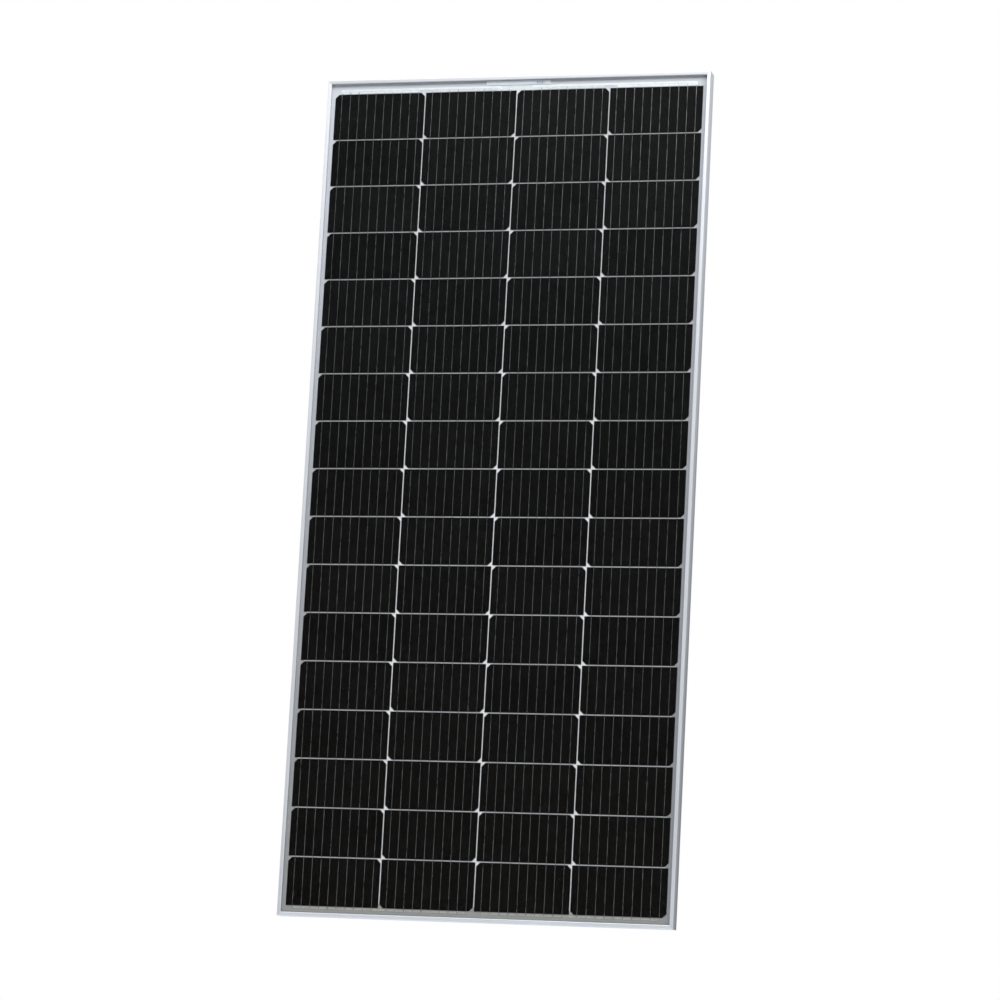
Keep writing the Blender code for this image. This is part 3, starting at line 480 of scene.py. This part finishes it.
def make_cells(wafer, ribbon):
    """Every string's wafers, which stand for its node, and the ribbons along them."""
    half, top_half = RIBBON_WIDTH / 2, RIBBON_TOP_WIDTH / 2
    section = [(-half, 0.0), (-top_half, RIBBON_THICKNESS), (top_half, RIBBON_THICKNESS), (half, 0.0)]
    for column in range(COLUMNS):
        name = f"cell_string_{column + 1}"
        cells = prisms(name + "_wafers", wafer_outlines(column), CELL_FRONT, CELL_REAR)
        finished(name + "_wafers", cells, wafer, stands_for=[name])
        strips = swept(name + "_ribbons", ribbon_paths(column), section)
        finished(name + "_ribbons", strips, ribbon)


def make_solder(name, places, size, material):
    """Flattened drops of solder, each a little different, at places in X, Y and Z."""
    bm = bmesh.new()
    for x, y, z in places:
        swell = 0.8 + 0.4 * abs(noise.noise(Vector((x * 97, 0.0, z * 10))))
        ball = bmesh.ops.create_icosphere(bm, subdivisions=2, radius=1.0)["verts"]
        bmesh.ops.scale(bm, vec=(size[0] * swell, size[1], size[2] * swell), verts=ball)
        bmesh.ops.translate(bm, vec=(x, y, z), verts=ball)
    finished(name, closed_mesh(name, bm), material, smooth=True)


def make_bus_solder(name, bus, material):
    """Solder where every cell ribbon meets the bus ribbons in one row with the named one."""
    low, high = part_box(bus)
    ribbons = [x for column in range(COLUMNS) for x in ribbon_places(column)]
    places = [(x, low.y, (low.z + high.z) / 2) for x in ribbons]
    make_solder(name, places, (0.0015, 0.00016, 0.0019), material)


def make_terminal_solder(material):
    """Solder where the lead-outs and the diodes' wires meet the terminals."""
    tails = []
    for name in ("lead_out_left", "lead_out_centre", "lead_out_right"):
        low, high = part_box(name)
        tail_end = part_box(name.replace("lead_out", "terminal"))[1].z - LEAD_JOINT_DROP
        tails.append(((low.x + high.x) / 2, high.y, tail_end))
    make_solder("lead_out_solder", tails, (0.0024, 0.0004, 0.0020), material)
    low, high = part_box("bypass_diode_left")
    height = (low.z + high.z) / 2
    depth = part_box("terminal_left")[1].y + 0.0003
    wire_ends = [(side * x, depth, height) for side in (-1, 1) for x in (DIODE_PITCH, DIODE_INNER_JOINT)]
    make_solder("diode_solder", wire_ends, (0.0022, 0.0009, 0.0014), material)


def make_glass(material):
    """The pane with ground edges; it also stands for the clear sheet behind it."""
    low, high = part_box("front_glass")
    edge = 0.0006
    outline = [(low.x, low.z), (high.x, low.z), (high.x, high.z), (low.x, high.z)]
    inner = [(x - math.copysign(edge, x), z - math.copysign(edge, z)) for x, z in outline]
    levels = [(low.y, inner), (low.y + edge, outline), (high.y - edge, outline), (high.y, inner)]
    bm = bmesh.new()
    rings = [[bm.verts.new((x, y, z)) for x, z in ring] for y, ring in levels]
    bm.faces.new(rings[0])
    bm.faces.new(rings[-1][::-1])
    for near, far in zip(rings, rings[1:]):
        for index in range(4):
            after = (index + 1) % 4
            bm.faces.new((near[index], far[index], far[after], near[after]))
    mesh = closed_mesh("glass_pane", bm)
    finished("glass_pane", mesh, material, stands_for=["front_glass", "front_encapsulant"])


def sheet_lines(low, high):
    """Grid lines in X and in Z that follow the cells' edges and the ribbons' sides."""
    ramp = (-RELIEF_RAMP, 0.0, RELIEF_RAMP)
    xs = {low.x, high.x}
    for column in range(COLUMNS):
        for edge in (-CELL_WIDTH / 2, CELL_WIDTH / 2):
            xs |= {round(column_centre(column) + edge + step, 7) for step in ramp}
        for x in ribbon_places(column):
            xs |= {round(x + step, 7) for step in RIBBON_RELIEF_STEPS}
    zs = {low.z, high.z}
    for row in range(ROWS):
        top = CELLS_TOP - row * ROW_PITCH
        for edge in (top, top - CELL_HEIGHT):
            zs |= {round(edge + step, 7) for step in ramp}
    return sorted(xs), sorted(zs)


def sheet_points(xs, zs, depth):
    """Points of the sheet's rear, which stands proud over the cells and a little more over ribbons."""
    ribbons = np.array([x for column in range(COLUMNS) for x in ribbon_places(column)])
    centres = np.array([column_centre(column) for column in range(COLUMNS)])
    points = []
    for z in zs:
        from_top = (CELLS_TOP - z) % ROW_PITCH
        in_strings = CELLS_BOTTOM <= z <= CELLS_TOP
        in_row = in_strings and RELIEF_RAMP / 2 < from_top < CELL_HEIGHT - RELIEF_RAMP / 2
        for x in xs:
            in_column = np.abs(centres - x).min() < CELL_WIDTH / 2 - RELIEF_RAMP / 2
            on_ribbon = in_strings and np.abs(ribbons - x).min() < 0.0006
            height = RELIEF * (0.6 * (in_row and in_column) + 0.4 * on_ribbon)
            height += 0.00001 * noise.noise(Vector((x * 40, 0.0, z * 40)))
            points.append((x, depth - RELIEF + height, z))
    return points


def make_backsheet(laminated, bare):
    """White sheet drawn on to the back of the cells and ribbons, which show through as faint relief."""
    low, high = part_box("backsheet")
    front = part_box("rear_encapsulant")[0].y
    xs, zs = sheet_lines(low, high)
    vertices = sheet_points(xs, zs, high.y)
    across, upward = len(xs), len(zs)
    faces = []
    for j in range(upward - 1):
        for i in range(across - 1):
            here = j * across + i
            faces.append((here, here + across, here + across + 1, here + 1))
    rim = [j * across for j in range(upward)] + [(upward - 1) * across + i for i in range(1, across)]
    rim += [j * across + across - 1 for j in range(upward - 2, -1, -1)] + list(range(across - 2, 0, -1))
    first = len(vertices)
    vertices += [(vertices[index][0], front, vertices[index][2]) for index in rim]
    for step in range(len(rim)):
        after = (step + 1) % len(rim)
        faces.append((rim[step], rim[after], first + after, first + step))
    faces.append(tuple(range(first, first + len(rim))))
    mesh = mesh_from("backsheet_laminate", vertices, faces)
    mesh.shade_smooth()
    mesh.set_sharp_from_angle(angle=math.radians(40))
    stands_for = ["backsheet", "rear_encapsulant"]
    piece = finished("backsheet_laminate", mesh, laminated, stands_for=stands_for)
    piece.data.materials.append(bare)
    for face in mesh.polygons:
        face.material_index = int(face.center.y > front + 0.0001)


def bead_route():
    """Points round the junction box's foot with their outward directions, evenly spaced."""
    low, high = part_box("junction_box_base")
    right, left = high.x - BEAD_CORNER, low.x + BEAD_CORNER
    top, bottom = high.z - BEAD_CORNER, low.z + BEAD_CORNER
    corners = []
    for quarter, centre in enumerate(((right, top), (left, top), (left, bottom), (right, bottom))):
        for step in range(7):
            angle = math.radians(quarter * 90 + step * 15)
            side = Vector((math.cos(angle), math.sin(angle)))
            corners.append((Vector(centre) + side * BEAD_CORNER, side))
    route = []
    for (point, side), (after, after_side) in zip(corners, corners[1:] + corners[:1]):
        steps = max(1, round((after - point).length / BEAD_STEP))
        for step in range(steps):
            share = step / steps
            route.append((point.lerp(after, share), side.lerp(after_side, share).normalized()))
    return route


def make_silicone_bead(material):
    """Adhesive squeezed out round the junction box's foot, uneven where it was smoothed by hand."""
    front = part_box("junction_box_bed")[0].y + 0.0001
    route = bead_route()
    path = [((point.x, front, point.y), (side.x, side.y)) for point, side in route]
    mesh = swept("silicone_bead", [path], BEAD_SECTION, closed=True)
    for index, vertex in enumerate(mesh.vertices):
        point, side = route[index // len(BEAD_SECTION)]
        across, forward = BEAD_SECTION[index % len(BEAD_SECTION)]
        if across > 0.0:
            swell = 1.0 + 0.35 * noise.noise(Vector((point.x * 120, 0.0, point.y * 120)))
            vertex.co.x = point.x + side.x * across * swell
            vertex.co.z = point.y + side.y * across * swell
            vertex.co.y = front - forward * (0.8 + 0.2 * swell)
    finished("silicone_bead", mesh, material, stands_for=["junction_box_bed"], smooth=True)


def sheet_finish(look, tone, cloud):
    """Matt finish with the lay-up cloth's weave pressed into it."""
    look.link(tone, "Base Color")
    look.link(look.remap(cloud, 0.3, 0.7, 0.42, 0.58), "Roughness")
    look.bump(look.noise(1600.0, 2.0), 0.2, 0.00002)
    return look.material


def sheet_behind_glass():
    """White backsheet seen through the glass, with painted shade: grey margins under the rails, darker
    towards the foot and beside the right rail, and gaps painted darker at the top.
    """
    look = Look("white_sheet_behind_glass")
    cloud = look.noise(9.0, 4.0, 0.6)
    x, _, z = look.axes()
    # Painted shade: the margin under the rails is greyer than the sheet among the cells, and darker still
    # towards the foot.
    margin = look.mix(cloud, (0.50, 0.50, 0.55), (0.57, 0.57, 0.62))
    margin = look.mix(look.remap(z, 0.6, -0.8, 0.0, 1.0), margin, (0.43, 0.42, 0.42))
    # Painted shade from the right rail on the margin beside it.
    rail_painted_shade = look.remap(x, 0.36, 0.372, 0.0, 1.0)
    margin = look.mix(rail_painted_shade, margin, (0.36, 0.36, 0.40))
    reach = COLUMNS * COLUMN_PITCH / 2 - CELL_CHAMFER
    low = CELLS_BOTTOM + CELL_CHAMFER
    high = CELLS_TOP - CELL_CHAMFER
    among_cells = look.math("MULTIPLY", within(look, x, -reach, reach), within(look, z, low, high))
    # Painted light: the gaps among the cells are darker at the top and lighter towards the foot.
    gaps_painted_light = look.mix(look.remap(z, 0.75, -0.20, 0.0, 1.0), (0.51, 0.49, 0.51), (0.97, 0.94, 0.96))
    return sheet_finish(look, look.mix(among_cells, margin, gaps_painted_light), cloud)


def bare_sheet():
    """White backsheet seen from behind, with the dark cells showing through it faintly."""
    look = Look("white_sheet_bare")
    cloud = look.noise(9.0, 4.0, 0.6)
    x, _, z = look.axes()
    half_width = COLUMNS * COLUMN_PITCH / 2
    from_column_gap = look.math("PINGPONG", look.math("ADD", x, half_width), COLUMN_PITCH / 2)
    from_row_gap = look.math("SUBTRACT", z, CELLS_BOTTOM - CELL_GAP / 2)
    from_row_gap = look.math("PINGPONG", from_row_gap, ROW_PITCH / 2)
    nearest = look.math("MINIMUM", from_column_gap, from_row_gap)
    inside = within(look, x, -half_width, half_width)
    inside = look.math("MULTIPLY", inside, within(look, z, CELLS_BOTTOM, CELLS_TOP))
    backed = look.math("MULTIPLY", inside, look.remap(nearest, 0.0012, 0.0042, 0.0, 1.0))
    clear = look.mix(cloud, (0.75, 0.76, 0.77), (0.80, 0.81, 0.82))
    dimmed = look.mix(cloud, (0.69, 0.70, 0.72), (0.74, 0.75, 0.77))
    return sheet_finish(look, look.mix(backed, clear, dimmed), cloud)


def axial_diode():
    """Black moulded body with a pale band at one end, on tinned wires."""
    look = Look("axial_diode")
    low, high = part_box("bypass_diode_left")
    radius = (high.z - low.z) / 2
    x, depth, height = look.axes()
    sideways = look.math("SUBTRACT", depth, (low.y + high.y) / 2)
    upward = look.math("SUBTRACT", height, (low.z + high.z) / 2)
    squared = look.math("MULTIPLY_ADD", sideways, sideways, look.math("MULTIPLY", upward, upward))
    body = look.math("GREATER_THAN", squared, (0.35 * radius) ** 2)
    along = look.math("WRAP", x, DIODE_PITCH, 0.0)
    middle = DIODE_PITCH / 2
    band = within(look, along, middle + DIODE_BAND_START, middle + DIODE_BAND_END)
    moulding = look.mix(look.noise(700.0, 3.0), (0.010, 0.010, 0.011), (0.022, 0.022, 0.023))
    printed = look.mix(band, moulding, (0.62, 0.62, 0.60))
    wire = look.mix(look.noise(500.0, 2.0), (0.52, 0.52, 0.50), (0.70, 0.70, 0.68))
    look.link(look.mix(body, wire, printed), "Base Color")
    look.link(look.math("SUBTRACT", 1.0, body), "Metallic")
    look.link(look.remap(look.noise(300.0, 2.0), 0.3, 0.7, 0.30, 0.44), "Roughness")
    return look.material


def dress_frame():
    """Rails, seals and the small parts keep their own meshes and take their finishes here."""
    upright = aluminium("anodised_upright", "z")
    # Painted light: the top rail takes a darker copy of the finish and the bottom rail a lighter one.
    top = aluminium("anodised_top_painted_shade", "x", 0.70)
    bottom = aluminium("anodised_bottom_painted_light", "x", 1.08)
    plastic = speckled(
        "moulded_plastic", (0.010, 0.010, 0.011), (0.020, 0.020, 0.021), 90.0, (0.36, 0.50), 0.00004
    )
    rubber = speckled(
        "black_rubber", (0.008, 0.008, 0.008), (0.016, 0.016, 0.016), 160.0, (0.62, 0.80), 0.00005
    )
    steel = speckled(
        "stainless_steel", (0.50, 0.50, 0.49), (0.64, 0.64, 0.62), 380.0, (0.24, 0.36), 0.00001, Metallic=1.0
    )
    cast = speckled(
        "key_aluminium", (0.46, 0.47, 0.49), (0.58, 0.59, 0.61), 220.0, (0.42, 0.58), 0.00005, Metallic=0.9
    )
    brass = speckled(
        "tinned_brass", (0.66, 0.55, 0.32), (0.76, 0.66, 0.42), 260.0, (0.28, 0.42), 0.00002, Metallic=1.0
    )
    sealant = speckled(
        "edge_sealant", (0.70, 0.71, 0.72), (0.80, 0.81, 0.82), 120.0, (0.50, 0.66), 0.00006
    )
    film = speckled("white_film", (0.58, 0.58, 0.61), (0.64, 0.64, 0.66), 80.0, (0.4, 0.5), 0.00002)
    bright = tinned_copper("bus_ribbon", (0.66, 0.68, 0.70), (0.77, 0.79, 0.81), 0.42, 0.15)
    # Painted shade: the bottom bus ribbons take a darker, beige copy of the bus ribbon.
    shaded_beige = tinned_copper("painted_shade_bus_ribbon", (0.48, 0.47, 0.43), (0.64, 0.62, 0.57), 0.45, 0.25)
    wide = tinned_copper("wide_bus_ribbon", (0.55, 0.57, 0.59), (0.67, 0.69, 0.71), 0.50, 0.15)
    by_slot = {
        "anodised_aluminium": bottom,
        "key_steel": cast,
        "edge_sealant": sealant,
        "black_plastic": plastic,
        "black_rubber": rubber,
        "fastener_steel": steel,
        "terminal_brass": brass,
        "white_sheet": film,
        "tinned_ribbon": bright,
    }
    serial = label("serial_label_stock", barcode, (0.57, 0.61, 0.69), (0.63, 0.67, 0.75), SERIAL_PAINTED_LIGHT_ABOVE)
    rating = label("rating_label_stock", ruled_table, (0.80, 0.81, 0.82), (0.87, 0.88, 0.89))
    by_node = {"rail_left": upright, "rail_right": upright, "rail_top": top}
    by_node |= {"serial_label": serial, "rating_label": rating}
    by_node |= {"top_bus_centre": wide, "bottom_bus_left": shaded_beige, "bottom_bus_right": shaded_beige}
    by_node |= dict.fromkeys(("bypass_diode_left", "bypass_diode_right"), axial_diode())
    slots = {made["node"]: made["material_slot"] for made in frame["record"]["subparts"]}
    for name, obj in frame["nodes"].items():
        if name in by_node:
            wear(obj, by_node[name])
        elif slots[name] in by_slot:
            wear(obj, by_slot[slots[name]])


def area_light(name, place, target, size, power, colour):
    """A soft light at a place, facing a target, that the camera doesn't see."""
    light = bpy.data.lights.new(name, "AREA")
    light.shape = "RECTANGLE"
    light.size, light.size_y = size
    light.energy = power
    light.color = colour
    obj = bpy.data.objects.new(name, light)
    bpy.context.scene.collection.objects.link(obj)
    obj.location = place
    obj.rotation_euler = (Vector(target) - Vector(place)).to_track_quat("-Z", "Y").to_euler()
    obj.visible_camera = False


def smooth_step(tree, value, start, end, first, last):
    """Goes smoothly from first to last while a value goes from start to end."""
    inputs = {0: value, 1: start, 2: end, 3: first, 4: last}
    return node(tree, "MapRange", inputs, interpolation_type="SMOOTHSTEP").outputs[0]


def combined(tree, operation, a, b):
    """Two values combined by a Math node."""
    return node(tree, "Math", {0: a, 1: b}, operation=operation).outputs[0]


def make_floor():
    """A pale floor well below the hung panel."""
    mesh = bpy.data.meshes.new("studio_floor")
    corners = [(x * FLOOR_HALF, y * FLOOR_HALF) for x, y in ((-1, -1), (1, -1), (1, 1), (-1, 1))]
    mesh.from_pydata([(x, y, FLOOR_HEIGHT) for x, y in corners], [], [(0, 1, 2, 3)])
    floor = bpy.data.objects.new("studio_floor", mesh)
    bpy.context.scene.collection.objects.link(floor)
    wear(floor, speckled("pale_floor", (0.815, 0.815, 0.815), (0.825, 0.825, 0.825), 40.0, (0.7, 0.74)))


def make_surround():
    """A white surround, its light dimmed at a dark corner, at both sides and low at the rear."""
    world = bpy.data.worlds.new("studio_surround")
    bpy.context.scene.world = world
    world.use_nodes = True
    tree = world.node_tree
    tree.nodes.clear()
    direction = node(tree, "TexCoord").outputs["Generated"]
    dotted = node(tree, "VectorMath", {0: direction, 1: DARK_CORNER}, operation="DOT_PRODUCT")
    dim = smooth_step(tree, dotted.outputs["Value"], 0.70, 0.95, 1.08, 0.08)
    across, back, up = node(tree, "SeparateXYZ", {0: direction}).outputs
    right = smooth_step(tree, across, 0.3, 0.95, 1.0, 0.50)
    left = smooth_step(tree, across, -0.3, -0.9, 1.0, 0.20)
    rear = smooth_step(tree, back, 0.2, 0.7, 0.0, 1.0)
    low = smooth_step(tree, up, 0.02, 0.34, 0.85, 0.0)
    open_rear = combined(tree, "SUBTRACT", 1.0, combined(tree, "MULTIPLY", rear, low))
    sides = combined(tree, "MULTIPLY", combined(tree, "MULTIPLY", right, left), open_rear)
    strength = combined(tree, "MULTIPLY", dim, sides)
    lit = node(tree, "Background", {"Color": (0.96, 0.98, 1.0, 1.0), "Strength": strength})
    seen = node(tree, "Background", {"Color": (1.0, 1.0, 1.0, 1.0), "Strength": 1.0})
    camera_ray = node(tree, "LightPath").outputs["Is Camera Ray"]
    both = node(tree, "MixShader", {0: camera_ray, 1: lit.outputs[0], 2: seen.outputs[0]})
    out = node(tree, "OutputWorld", {"Surface": both.outputs[0]})
    tree.nodes.active = out


def make_studio():
    """Floor, two soft lights and surround, with colours shown as they are."""
    make_floor()
    area_light("key_light", (0.05, -1.5, 2.3), (0.0, 0.0, 0.5), (1.2, 1.2), 63.0, (1.0, 0.99, 0.98))
    area_light("rear_light", (-1.6, 3.4, 2.2), (0.0, 0.0, 0.0), (2.0, 1.2), 20.0, (1.0, 1.0, 1.0))
    make_surround()
    bpy.context.scene.view_settings.view_transform = "Standard"


def make_camera():
    """Below the panel's foot and to its right, looking slightly up."""
    data = bpy.data.cameras.new("photo_camera")
    data.sensor_width = 36.0
    data.lens = 135.98
    data.clip_end = 100.0
    camera = bpy.data.objects.new("photo_camera", data)
    bpy.context.scene.collection.objects.link(camera)
    camera.location = CAMERA_PLACE
    camera.rotation_euler = [math.radians(angle) for angle in CAMERA_TURN]
    bpy.context.scene.camera = camera


make_camera()
make_studio()
dress_frame()
make_glass(solar_glass())
cell_ribbon = tinned_copper("cell_ribbon", (0.20, 0.20, 0.20), (0.50, 0.49, 0.49), 0.30)
make_cells(silicon(), cell_ribbon)
make_backsheet(sheet_behind_glass(), bare_sheet())
white_silicone = speckled(
    "white_silicone", (0.72, 0.72, 0.71), (0.80, 0.80, 0.79), 150.0, (0.42, 0.56), 0.00005
)
make_silicone_bead(white_silicone)
fresh_solder = tinned_copper("fresh_solder", (0.70, 0.72, 0.71), (0.86, 0.88, 0.88), 0.30, 0.8)
fluxed_solder = tinned_copper("fluxed_solder", (0.36, 0.24, 0.17), (0.62, 0.50, 0.40), 0.40, 0.4)
make_bus_solder("top_solder_joints", "top_bus_centre", fresh_solder)
make_bus_solder("bottom_solder_joints", "bottom_bus_left", fluxed_solder)
make_terminal_solder(fresh_solder)
